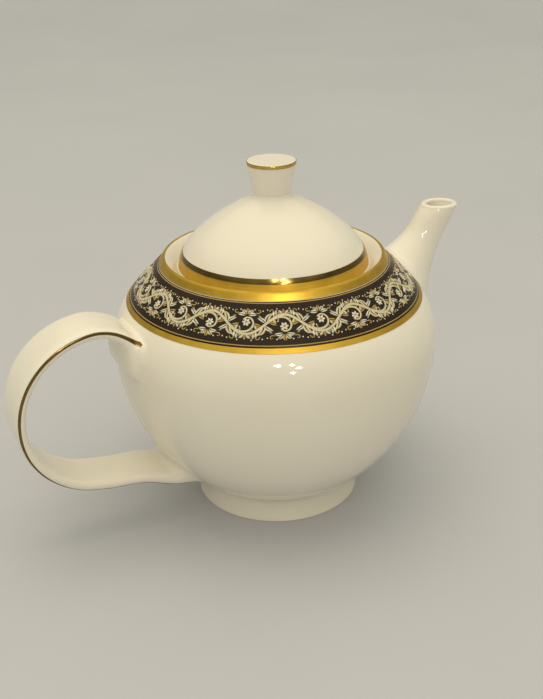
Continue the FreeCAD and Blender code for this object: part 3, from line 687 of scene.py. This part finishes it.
# %% Lid
LID_RADIUS, BAND_HEIGHT, BAND_LEAN, FLANGE, BORE, FLANGE_DEPTH = 43.2, 5.0, 1.3, 35.8, 32.8, 8.0
EDGE_ARC, DOME_ARC, EDGE_SLOPE, BREAK_SLOPE, LID_WALL, HOLLOW_TOP = 32.3, 84.5, 64.8, 41.0, 3.5, 9.0
KNOB_BASE, KNOB_ROOT = 8.5, 2.8
VENT_RADIUS, VENT_Y, VENT_PEG = 1.5, 20.0, (110, 150)


def down(slope):
    """Sine and cosine of a slope, as a step outwards and upwards from an arc's centre."""
    return np.array([math.sin(math.radians(slope)), math.cos(math.radians(slope))])


band_top = np.array([LID_RADIUS - BAND_LEAN, SEAT_Z + BAND_HEIGHT])
edge_centre = band_top - EDGE_ARC * down(EDGE_SLOPE)
dome_centre = edge_centre + (EDGE_ARC - DOME_ARC) * down(BREAK_SLOPE)
root_x = KNOB_BASE + KNOB_ROOT
KNOB_Z = dome_centre[1] + math.sqrt((DOME_ARC + KNOB_ROOT) ** 2 - (root_x - dome_centre[0]) ** 2)
root_slope = math.degrees(math.asin((root_x - dome_centre[0]) / (DOME_ARC + KNOB_ROOT)))
hollow_arc = DOME_ARC - LID_WALL
hollow_angles = [math.degrees(math.acos((r - dome_centre[0]) / hollow_arc)) for r in (HOLLOW_TOP, BORE)]
hollow_z = [dome_centre[1] + hollow_arc * math.sin(math.radians(angle)) for angle in hollow_angles]
flange_z = SEAT_Z - FLANGE_DEPTH
dome = np.concatenate([
    arc(edge_centre, EDGE_ARC, 90 - EDGE_SLOPE, 90 - BREAK_SLOPE),
    arc(dome_centre, DOME_ARC, 90 - BREAK_SLOPE, 90 - root_slope),
    arc((root_x, KNOB_Z), KNOB_ROOT, 270 - root_slope, 180, 12)])
lid_path = soften(
    corner(0, hollow_z[0], 0), corner(HOLLOW_TOP, hollow_z[0], 2.0),
    arc(dome_centre, hollow_arc, *hollow_angles),
    corner(BORE, hollow_z[1], 2.0), corner(BORE, flange_z, 1.0), corner(FLANGE, flange_z, 1.0),
    corner(FLANGE, SEAT_Z, 0.5), corner(LID_RADIUS, SEAT_Z, 0.5), corner(*band_top, 0.4), dome,
    corner(KNOB_BASE, KNOB_Z, 0.3), corner(0, KNOB_Z, 0))
lid = to_mesh("lid_porcelain", [lathe(thin(lid_path))])
pierce(lid, [peg(VENT_PEG, VENT_RADIUS) + np.array([0, VENT_Y, 0])])
finish_piece(lid, "lid", "lid", porcelain)

# %% Knob
KNOB_TOP, KNOB_HEIGHT, KNOB_SOFTNESS, KNOB_TURNS = 11.05, 14.2, 0.84, 96
knob_top_z = KNOB_Z + KNOB_HEIGHT
knob_path = soften(corner(0, KNOB_Z, 0), corner(KNOB_BASE, KNOB_Z, 0.25),
                   corner(KNOB_TOP, knob_top_z, KNOB_SOFTNESS), corner(0, knob_top_z, 0))
knob = to_mesh("knob_porcelain", [lathe(thin(knob_path), KNOB_TURNS)])
finish_piece(knob, "lid", "lid_knob", porcelain)

# %% [markdown]
# ## Gold bands and lines
# Each band is a film a tenth of a millimetre thick that lies on the glaze. It follows the softened profile
# under it, and its edges come down to the glaze, as fired gold does. Painting the bands with a material
# alone would look the same from far off, but a film is a piece of its own that can be lifted out.

# %% Bands turned on the wheel
FILM, BAND_ROWS, EDGE_SHARE = 0.12, 9, 0.1
LINE_TURN = 4.1


def outward(profile):
    """Unit normals (z', -r') of a profile (r, z) that goes up on the outside."""
    r, z = np.gradient(profile, axis=0).T
    return np.stack([z, -r], -1) / np.hypot(r, z)[:, None]


def film(surface, normals, lift):
    """A thin closed film: its face is surface + lift x normal, its back the surface turned over."""
    return [surface + normals * lift[..., None], surface[::-1]]


def band(name, body, path, start, end, material):
    """A film on a turned surface between two points of its profile, down on the glaze at its edges."""
    first, last = (np.argmin(np.hypot(*(path - point).T)) for point in (start, end))
    rows = points_at(path, np.arange(len(path)), np.linspace(first, last, BAND_ROWS))
    places = np.r_[0, EDGE_SHARE, 1:BAND_ROWS - 1, BAND_ROWS - 1 - EDGE_SHARE, BAND_ROWS - 1]
    profile = points_at(rows, np.arange(BAND_ROWS), places)
    lift = np.full((len(profile), TURNS + 1), FILM)
    lift[[0, -1]] = 0
    piece = to_mesh(f"{name}_film", film(lathe(profile), lathe(outward(profile)), lift))
    finish_piece(piece, body, name, material)


band("rim_gold_band", "pot", pot_path, (RIM_BASE - 0.1, RIM_Z_BASE + 0.15),
     (RIM_RADIUS - 0.8 * RIM_WIDTH, RIM_Z + 0.1), satin_gold)
band("lid_gold_band", "lid", lid_path, (LID_RADIUS, SEAT_Z + 0.3), band_top, satin_gold)
# The lid's edge line takes the gold painted dark and the knob's line the copy painted light: painted
# reflections.
band("lid_edge_line", "lid", lid_path, band_top, edge_centre + EDGE_ARC * down(EDGE_SLOPE - LINE_TURN),
     burnished_gold_painted_dark)
band("knob_gold_line", "lid", knob_path, (KNOB_TOP - 0.3, knob_top_z - 1.7),
     (KNOB_TOP - 0.25, knob_top_z - 0.15), burnished_gold_painted_light)

# %% [markdown]
# ## The border
# The printed border and the gold ring below it lie on the shoulder, whose arc gives each row its place.
# Where the spout stands on them they stop at its fillet. A boolean would cut that notch raggedly; so each
# row runs from one side of the spout round to the other.

# %% Border films
RING_LOW, BORDER_LOW, BORDER_HIGH = 67.75, 66.2, 51.95
RING_ROWS, BORDER_ROWS, BORDER_COLUMNS = 7, 40, 241
spout_ring = spout_fillet[-1, :SPOUT_TURNS // 4 + 1]
notch_r = np.hypot(spout_ring[:, 0], spout_ring[:, 1])
notch_t = np.abs(np.arctan2(spout_ring[:, 1], spout_ring[:, 0]))


def shoulder_angle(radius):
    """Angle on the shoulder's arc at a radius from the axis."""
    return np.arccos((radius - shoulder_x) / SHOULDER_ARC)


def on_border(angle, turn):
    """Points and normals of the shoulder: the arc at angle, turned about Z."""
    angle, turn = np.broadcast_arrays(angle, turn)
    cos_a, sin_a, cos_t, sin_t = np.cos(angle), np.sin(angle), np.cos(turn), np.sin(turn)
    r, z = shoulder_x + SHOULDER_ARC * cos_a, shoulder_z + SHOULDER_ARC * sin_a
    return np.stack([r * cos_t, r * sin_t, z], -1), np.stack([cos_a * cos_t, cos_a * sin_t, sin_a], -1)


def shoulder_film(name, low, high, count, material):
    """A film on the shoulder between two radii, notched at the spout; its edges come down to the glaze."""
    # The rows crowd at both edges, so that the film comes down to the glaze in a narrow step.
    share = np.r_[0, 0.01, np.linspace(0.03, 0.97, count), 0.99, 1]
    angle = shoulder_angle(low) + (shoulder_angle(high) - shoulder_angle(low)) * share
    notch = np.interp(shoulder_x + SHOULDER_ARC * np.cos(angle), notch_r, notch_t, left=0)
    turn = notch[:, None] + (2 * np.pi - 2 * notch[:, None]) * np.linspace(0, 1, BORDER_COLUMNS)
    turn[notch == 0, -1] = 0
    # The notch's edges are its rows' ends, and its tip is the seam of the first whole row.
    notched = notch > 0
    notched[np.argmax(notch == 0)] = True
    lift = np.full(turn.shape, FILM)
    lift[[0, -1]] = 0
    lift[notched, 0] = lift[notched, -1] = 0
    surface, normals = on_border(angle[:, None], turn)
    across = np.broadcast_to(share[:, None], turn.shape)
    piece = to_mesh(f"{name}_film", film(surface, normals, lift), across=[across, across[::-1]])
    finish_piece(piece, "pot", name, material)


shoulder_film("border_gold_ring", RING_LOW, BORDER_LOW, RING_ROWS, satin_gold)
shoulder_film("shoulder_border", BORDER_LOW, BORDER_HIGH, BORDER_ROWS, border_print)

# %% [markdown]
# ## Gold along the handle
# A burnished line runs along each edge of the strap, near its outer corner, from the upper join to under
# the lower arm. A curve laid beside the strap would float or sink, so it is a film cut from the handle's
# own grid: rows along the strap and columns to either side of the line, narrowing to nothing at both ends.

# %% Handle lines
LINE_ROWS, LINE_COLUMNS, LINE_HALF, LINE_FIRST_ROW = 240, 9, 0.65, 5
LINE_RUN = (9, 11.5, 15.5, 18, 60, 86, 100, 130)
LINE_ANGLES = (53.5, 48.5, 27, 22, 18, 25, 38, 50)
END_ROUND, END_SWELL, SWELL_LENGTH = 1.2, 1.2, 5.0


def edge_line(name, edge, outwards):
    """A film on the handle's skin beside one edge.

    On each section it lies at an angle from the edge towards the outer face. LINE_ANGLES gives it at the
    distances LINE_RUN along the edge from the upper root: larger on the lug there and under the lower arm
    than on the loop. Its ends are quarter ellipses, and it swells towards the upper one by an exponential.
    """
    middle = HANDLE_TURNS // 2
    skin = np.roll(handle_skin[:, :-1], middle - edge, axis=1)
    centre = middle + outwards * np.interp(run(skin[:, middle]), LINE_RUN, LINE_ANGLES) * HANDLE_TURNS / 360
    before, path, after = np.moveaxis(pick(skin, centre[:, None] + np.arange(-1, 2), 1), 1, 0)
    ahead = np.gradient(path, axis=0)
    ahead /= np.linalg.norm(ahead, axis=1, keepdims=True)
    spacing = np.linalg.norm(np.cross(after - before, ahead), axis=1) / 2
    length = run(path)
    start, end = length[LINE_FIRST_ROW], length[-FILLET_ROWS]
    along = np.linspace(start, end, LINE_ROWS)
    inset = np.clip(np.minimum(along - start, end - along) / END_ROUND, 0, 1)
    swell = 1 + END_SWELL * np.exp(-(along - start) / SWELL_LENGTH)
    columns = LINE_HALF * np.sqrt(1 - (1 - inset) ** 2) * swell / np.interp(along, length, spacing)
    rows = np.interp(along, length, np.arange(len(length)))
    places = np.interp(along, length, centre)[:, None] + np.linspace(-1, 1, LINE_COLUMNS) * columns[:, None]
    surface = pick(pick(skin, rows[:, None] + np.zeros(HANDLE_TURNS), 0), places, 1)
    normals = np.cross(np.gradient(surface, axis=1), np.gradient(surface, axis=0))
    normals /= np.maximum(np.linalg.norm(normals, axis=-1, keepdims=True), TINY)
    lift = np.full(surface.shape[:2], FILM)
    lift[[0, -1]] = 0
    lift[:, [0, -1]] = 0
    piece = to_mesh(f"{name}_film", film(surface, normals, lift))
    # The handle's lines take the gold painted dark, a painted reflection of a dark room.
    finish_piece(piece, "pot", name, burnished_gold_painted_dark)


edge_line("handle_gold_line_left", 0, -1)
edge_line("handle_gold_line_right", HANDLE_TURNS // 2, 1)

# %% [markdown]
# ## Scrolls on the border
# The print shows a running scroll of the kind that potters have used for centuries: a wavy stem, a volute
# in each of its hollows with a rosette in its eye, and veined leaves along the way. It is drawn flat first,
# in millimetres along and across the border, one half wave at a time; every second half is turned over.
# Each stroke then becomes a low, flat-topped ribbon of enamel on the shoulder. A painted image would be
# quicker, but real relief catches the light and stays sharp close up.

# %% Strokes for leaves
WAVES, MIDDLE_RADIUS = 12, 59.2
HALF_WAVE = math.pi * MIDDLE_RADIUS / WAVES
CREAM, GOLD, WHITE, ROSE, GREEN = (np.arange(len(TINTS)) + 0.5) / len(TINTS)
LEAF_ROWS, LEAF_POWER = 7, 0.7
VEIN_ASIDE, VEIN_PART, VEIN_MEET, VEIN_WIDTH = 0.3, 16, 34, 0.42


def leaves(table):
    """Leaf strokes: each starts at (u, v) with a heading and turns evenly by its bend.

    Its width is w sin(pi s)^0.7 at the share s of its length.
    """
    u, v, heading, length, bend, wide, tint = np.array(table, float).T[:, :, None]
    s = np.linspace(0, 1, LEAF_ROWS)
    angle = np.radians(heading + bend * (s[:-1] + s[1:]) / 2)
    step = length / (LEAF_ROWS - 1)
    line = [np.concatenate([start, start + np.cumsum(step * part, axis=1)], axis=1)
            for start, part in ((u, np.cos(angle)), (v, np.sin(angle)))]
    return np.stack(line, -1), wide * np.sin(np.pi * s) ** LEAF_POWER, tint[:, 0]


def veined(table):
    """Each leaf as two narrow strokes that part and meet again, with a dark vein of ground between them."""
    u, v, heading, length, bend, wide, tint = np.repeat(np.array(table, float), 2, axis=0).T
    side = np.tile([-1, 1], len(table))
    aside = np.radians(heading + 90 * side)
    start = u + VEIN_ASIDE * wide * np.cos(aside), v + VEIN_ASIDE * wide * np.sin(aside)
    bent = heading + VEIN_PART * side, length, bend - VEIN_MEET * side
    return np.stack([*start, *bent, VEIN_WIDTH * wide, tint], -1).tolist()


def mirrored(table):
    """A table of leaves and the same leaves seen in a mirror at the middle of the half wave."""
    return table + [(HALF_WAVE - u, v, 180 - heading, length, -bend, wide, tint)
                    for u, v, heading, length, bend, wide, tint in table]


print("half wave:", round(HALF_WAVE, 1), "mm,", 2 * WAVES, "of them round the border")

# %% Strokes for stem and volutes
STEM_ROWS, STEM_PARTS, STEM_OVERLAP, SPIRAL_ROWS = 13, 3, 0.04, 37
SWING, STEM_HALF, SPIRAL_TAPER = 4.3, 0.56, 0.4


def blunt(count):
    """Places along a stroke, and its width there: full nearly to the ends, then nothing."""
    s = np.r_[0, 0.02, np.linspace(0.06, 0.94, count - 4), 0.98, 1]
    return s, np.r_[0, 0.8, np.ones(count - 4), 0.8, 0]


def stem():
    """The stem's half wave v = swing sin(pi u / half wave), in three strokes that overlap a little."""
    s, wide = blunt(STEM_ROWS)
    part = np.arange(STEM_PARTS)[:, None] - STEM_OVERLAP + (1 + 2 * STEM_OVERLAP) * s
    u = HALF_WAVE * part / STEM_PARTS
    line = np.stack([u, SWING * np.sin(np.pi * u / HALF_WAVE)], -1)
    return line, STEM_HALF * wide + 0 * u, np.full(STEM_PARTS, CREAM)


def spirals(table):
    """Strokes that wind up about (u, v).

    Their radius is r (0.68 e^(-0.2 a) + 0.32 e^(-2.2 a)) at the turned angle a.
    """
    u, v, radius, start, turned, wide, tint = np.array(table, float).T[:, :, None]
    s, width = blunt(SPIRAL_ROWS)
    a = np.abs(turned) * s
    reach = radius * (0.68 * np.exp(-0.2 * a) + 0.32 * np.exp(-2.2 * a))
    angle = np.radians(start) + np.sign(turned) * a
    line = np.stack([u + reach * np.cos(angle), v + reach * np.sin(angle)], -1)
    return line, wide * width * (1 - SPIRAL_TAPER * s), tint[:, 0]


print("stem:", STEM_PARTS, "strokes of", STEM_ROWS, "rows, a volute:", SPIRAL_ROWS, "rows")

# %% One half wave
# Leaves: place along and across, heading, length, bend, half width, enamel. Coils: place along and across,
# radius, first angle, angle turned, half width, enamel.
eye = HALF_WAVE / 2, -0.8
petals = [(eye[0] + 0.3 * math.cos(a), eye[1] + 0.3 * math.sin(a), math.degrees(a), 1.5, 20, 0.5, WHITE)
          for a in sixths]
coils = [(*eye, 7.6, 174, -5.6, 0.52, CREAM),
         (2.7, -5.7, 1.5, 30, 5.4, 0.24, GOLD), (HALF_WAVE - 2.7, -5.7, 1.5, 150, -5.4, 0.24, GOLD),
         (3.0, 5.9, 1.3, 200, -5.2, 0.22, GOLD), (HALF_WAVE - 3.0, 5.9, 1.3, -20, 5.2, 0.22, GOLD)]
fan = veined([(eye[0], -4.2, -90, 2.9, 0, 0.9, GOLD)] + mirrored([
    (eye[0] + 0.4, -4.1, -58, 3.1, 24, 0.8, CREAM), (eye[0] + 0.8, -3.9, -24, 3.3, 34, 0.75, WHITE)]))
sprays = veined([(0.4, 0.5, 92, 5.6, -64, 1.05, CREAM), (0.1, 0.7, 128, 4.0, 36, 0.8, WHITE),
                 (-0.4, -0.5, 272, 5.6, -64, 1.05, CREAM), (-0.1, -0.7, 308, 4.0, 36, 0.8, WHITE)])
hollows = veined(mirrored([(1.7, 0.8, -4, 3.3, -26, 0.75, GOLD)]))
crest = [(eye[0], SWING + 0.4, 90, 2.2, 0, 0.5, ROSE)] + mirrored([
    (eye[0] + 0.5, SWING + 0.3, 56, 2.4, -34, 0.5, CREAM),
    (eye[0] + 1.2, SWING + 0.1, 34, 2.2, -30, 0.42, GREEN)])
twigs = mirrored([(3.6, 3.4, 112, 2.4, -50, 0.5, WHITE), (4.7, 3.9, 118, 2.6, -60, 0.46, CREAM),
                  (3.2, 2.2, -40, 2.2, -40, 0.46, CREAM), (4.9, 3.2, -52, 1.9, -40, 0.42, GREEN),
                  (1.6, -2.6, -60, 1.9, 40, 0.42, GREEN)])
beads = [(eye[0], eye[1] - 0.3, 90, 0.6, 0, 0.36, GOLD)] + mirrored([
    (u, v, 90, 0.7, 0, 0.32, WHITE)
    for u, v in ((4.6, -6.7), (5.0, 6.5), (0.9, 6.0), (1.0, -6.2), (5.2, 1.0))])
groups = [stem(), spirals(coils), leaves(petals + fan + sprays + hollows + crest + twigs + beads)]
print("strokes in a half wave:", sum(len(tint) for _, _, tint in groups))

# %% Scrolls laid on the shoulder
RELIEF, ROOT, SPOUT_MARGIN = 0.16, 0.06, 0.008
ribbon_section = np.array([[-1, 0], [-0.6, RELIEF], [0.6, RELIEF], [1, 0], [0, -ROOT], [-1, 0]])
ribbon_shade = np.array([0.5, 0.85, 1.05, 0.95, 0.7, 0.5])
border_middle = (shoulder_angle(BORDER_LOW) + shoulder_angle(BORDER_HIGH)) / 2


def all_round(line):
    """Every half wave of a stroke: moved along by its number of halves, every second one turned over."""
    half = np.arange(2 * WAVES)[:, None, None]
    u = line[None, ..., 0] + half * HALF_WAVE
    v = line[None, ..., 1] * (1 - 2 * (half % 2))
    return np.stack([u, v], -1).reshape(-1, *line.shape[1:])


def ribbons(line, wide):
    """Ribbons on the shoulder: each point moved aside and up by the section, then laid on the arc."""
    along = np.gradient(line, axis=1)
    side = np.stack([along[..., 1], -along[..., 0]], -1)
    side /= np.maximum(np.linalg.norm(side, axis=-1, keepdims=True), TINY)
    flat = line[:, :, None] + (wide[..., None] * ribbon_section[:, 0])[..., None] * side[:, :, None]
    points, normals = on_border(border_middle + flat[..., 1] / SHOULDER_ARC, flat[..., 0] / MIDDLE_RADIUS)
    return points + normals * (FILM + ribbon_section[:, 1])[:, None]


grids, tints, shades = [], [], []
for line, wide, tint in groups:
    laid = ribbons(all_round(line), np.tile(wide, (2 * WAVES, 1)))
    turn = np.abs(np.arctan2(laid[..., 1], laid[..., 0]))
    blocked = np.interp(np.hypot(laid[..., 0], laid[..., 1]), notch_r, notch_t, left=-1) + SPOUT_MARGIN
    free = (turn > blocked).all(axis=(1, 2))
    grids += list(laid[free])
    tints += [np.full(laid.shape[1:3], value) for value in np.tile(tint, 2 * WAVES)[free]]
    shades += [np.broadcast_to(ribbon_shade, laid.shape[1:3])] * int(free.sum())
scrolls = to_mesh("border_scrolls", grids, tint=tints, shade=shades)
finish_piece(scrolls, "pot", None, scroll_enamel)

# %% [markdown]
# ## Floor and light
# The floor is plain and pale, and curves up far behind the pot on every side, so that no horizon shows. A
# soft lamp above, a weaker one in front and a room that is brighter overhead than at eye level light the
# pot evenly. Large lamps would show in the glaze as white squares, so they stay out of its gloss, and four
# small ones near the camera give the sparkle instead.

# %% Floor
# To the eye: a smooth, dull board in a pale grey that is barely uneven.
FLAT_RADIUS, COVE_RADIUS, COVE_END, GRAIN_MM = 1500, 2500, -10, 200
cove = np.concatenate([corner(0, 0, 0), corner(FLAT_RADIUS, 0, 0),
                       arc((FLAT_RADIUS, COVE_RADIUS), COVE_RADIUS, -90, COVE_END)])[:, :2]
floor = to_mesh("floor", [lathe(cove[::-1])])
pale_board, tree, shader, spot = start_material("pale board", Roughness=0.6)
grain = add(tree, "ShaderNodeTexNoise", {"Vector": spot, "Scale": per_mm(GRAIN_MM), "Detail": 3.0})
colour = add(tree, "ShaderNodeMix", {FACTOR: grain.outputs["Fac"], COLOUR_A: to_linear("#c2c4ca"),
                                     COLOUR_B: to_linear("#b9bbc2")}, data_type="RGBA")
connect(tree, shader, Base_Color=colour.outputs[COLOUR_OUT])
floor.data.materials.append(pale_board)

# %% Lamps
POT_MIDDLE = (0, 0, 0.08)
BULB_SIZE, BULB_POWER = 0.07, 3.3
BULBS = [(-0.66, -1.44, 1.25), (-0.38, -1.53, 1.25), (-0.28, -1.66, 1.09), (-0.45, -1.74, 0.89)]


def lamp(name, place, size, power, colour, in_gloss):
    """A square area lamp that faces the pot and either shows only in its gloss or only lights it."""
    light = bpy.data.lights.new(name, "AREA")
    light.size, light.energy, light.color = size, power, to_linear(colour)[:3]
    lamp_object = bpy.data.objects.new(name, light)
    back = np.subtract(place, POT_MIDDLE)
    across = np.cross((0, 1, 0), back)
    axes = np.stack([across, np.cross(back, across), back], -1)
    matrix = np.eye(4)
    matrix[:3, :3] = axes / np.linalg.norm(axes, axis=0)
    matrix[:3, 3] = place
    lamp_object.matrix_world = matrix.T
    lamp_object.visible_glossy, lamp_object.visible_diffuse = in_gloss, not in_gloss
    bpy.context.scene.collection.objects.link(lamp_object)


lamp("top_softbox", (-0.2, 0.1, 2.2), 1.6, 10, "#fff3d8", False)
lamp("front_softbox", (-0.8, -1.6, 1.5), 1.0, 6, "#fff3d8", False)
for index, place in enumerate(BULBS):
    lamp(f"bulb_{index}", place, BULB_SIZE, BULB_POWER, "#fff0d8", True)
print("lamps:", 2 + len(BULBS))

# %% Room
ROOM_LOW, ROOM_HIGH = 0.08, 1.15
world = bpy.data.worlds.new("studio")
world.use_nodes = True
tree = world.node_tree
background = tree.nodes["Background"]
room = add(tree, "ShaderNodeTexCoord", {}).outputs["Object"]
rise = add(tree, "ShaderNodeSeparateXYZ", {"Vector": room}).outputs["Z"]
glow = add(tree, "ShaderNodeMapRange", {"Value": rise, "From Min": 0.0, "From Max": 1.0, "To Min": ROOM_LOW,
                                        "To Max": ROOM_HIGH}, interpolation_type="SMOOTHSTEP")
connect(tree, background, Strength=glow.outputs["Result"])
background.inputs["Color"].default_value = to_linear("#fbf5df")
bpy.context.scene.world = world
bpy.context.scene.view_settings.view_transform = "Standard"
print("room light from", ROOM_LOW, "at eye level to", ROOM_HIGH, "overhead")

# %% [markdown]
# ## Camera
# The camera stands where the photograph was taken from. Its place, heading, pitch and roll were worked out
# from the ellipses of rim, lid and bands. A Track To constraint could aim it, but would lose the roll, so
# its axes are set.

# %% Camera
IMAGE_HEIGHT, FOCAL, SENSOR_MM = 699, 1000, 36
PITCH, ROLL, HEADING = 25.2, -1.3, 26.0
CAMERA_PLACE = -189.77, -385.04, 272.9
camera_data = bpy.data.cameras.new("camera")
camera_data.sensor_width = SENSOR_MM
camera_data.lens = FOCAL / IMAGE_HEIGHT * SENSOR_MM
camera = bpy.data.objects.new("camera", camera_data)
bpy.context.scene.collection.objects.link(camera)
pitch, roll, heading = (math.radians(value) for value in (PITCH, ROLL, HEADING))
ahead = np.array([math.sin(heading), math.cos(heading), 0])
right = np.array([math.cos(heading), -math.sin(heading), 0])
upright = np.array([0, 0, 1])
up = math.sin(pitch) * ahead + math.cos(pitch) * upright
matrix = np.eye(4)
matrix[:3, 0] = math.cos(roll) * right + math.sin(roll) * up
matrix[:3, 1] = math.cos(roll) * up - math.sin(roll) * right
matrix[:3, 2] = math.sin(pitch) * upright - math.cos(pitch) * ahead
matrix[:3, 3] = np.multiply(CAMERA_PLACE, MM)
camera.matrix_world = matrix.T
bpy.context.scene.camera = camera
print("camera lens", round(camera_data.lens, 2), "mm")
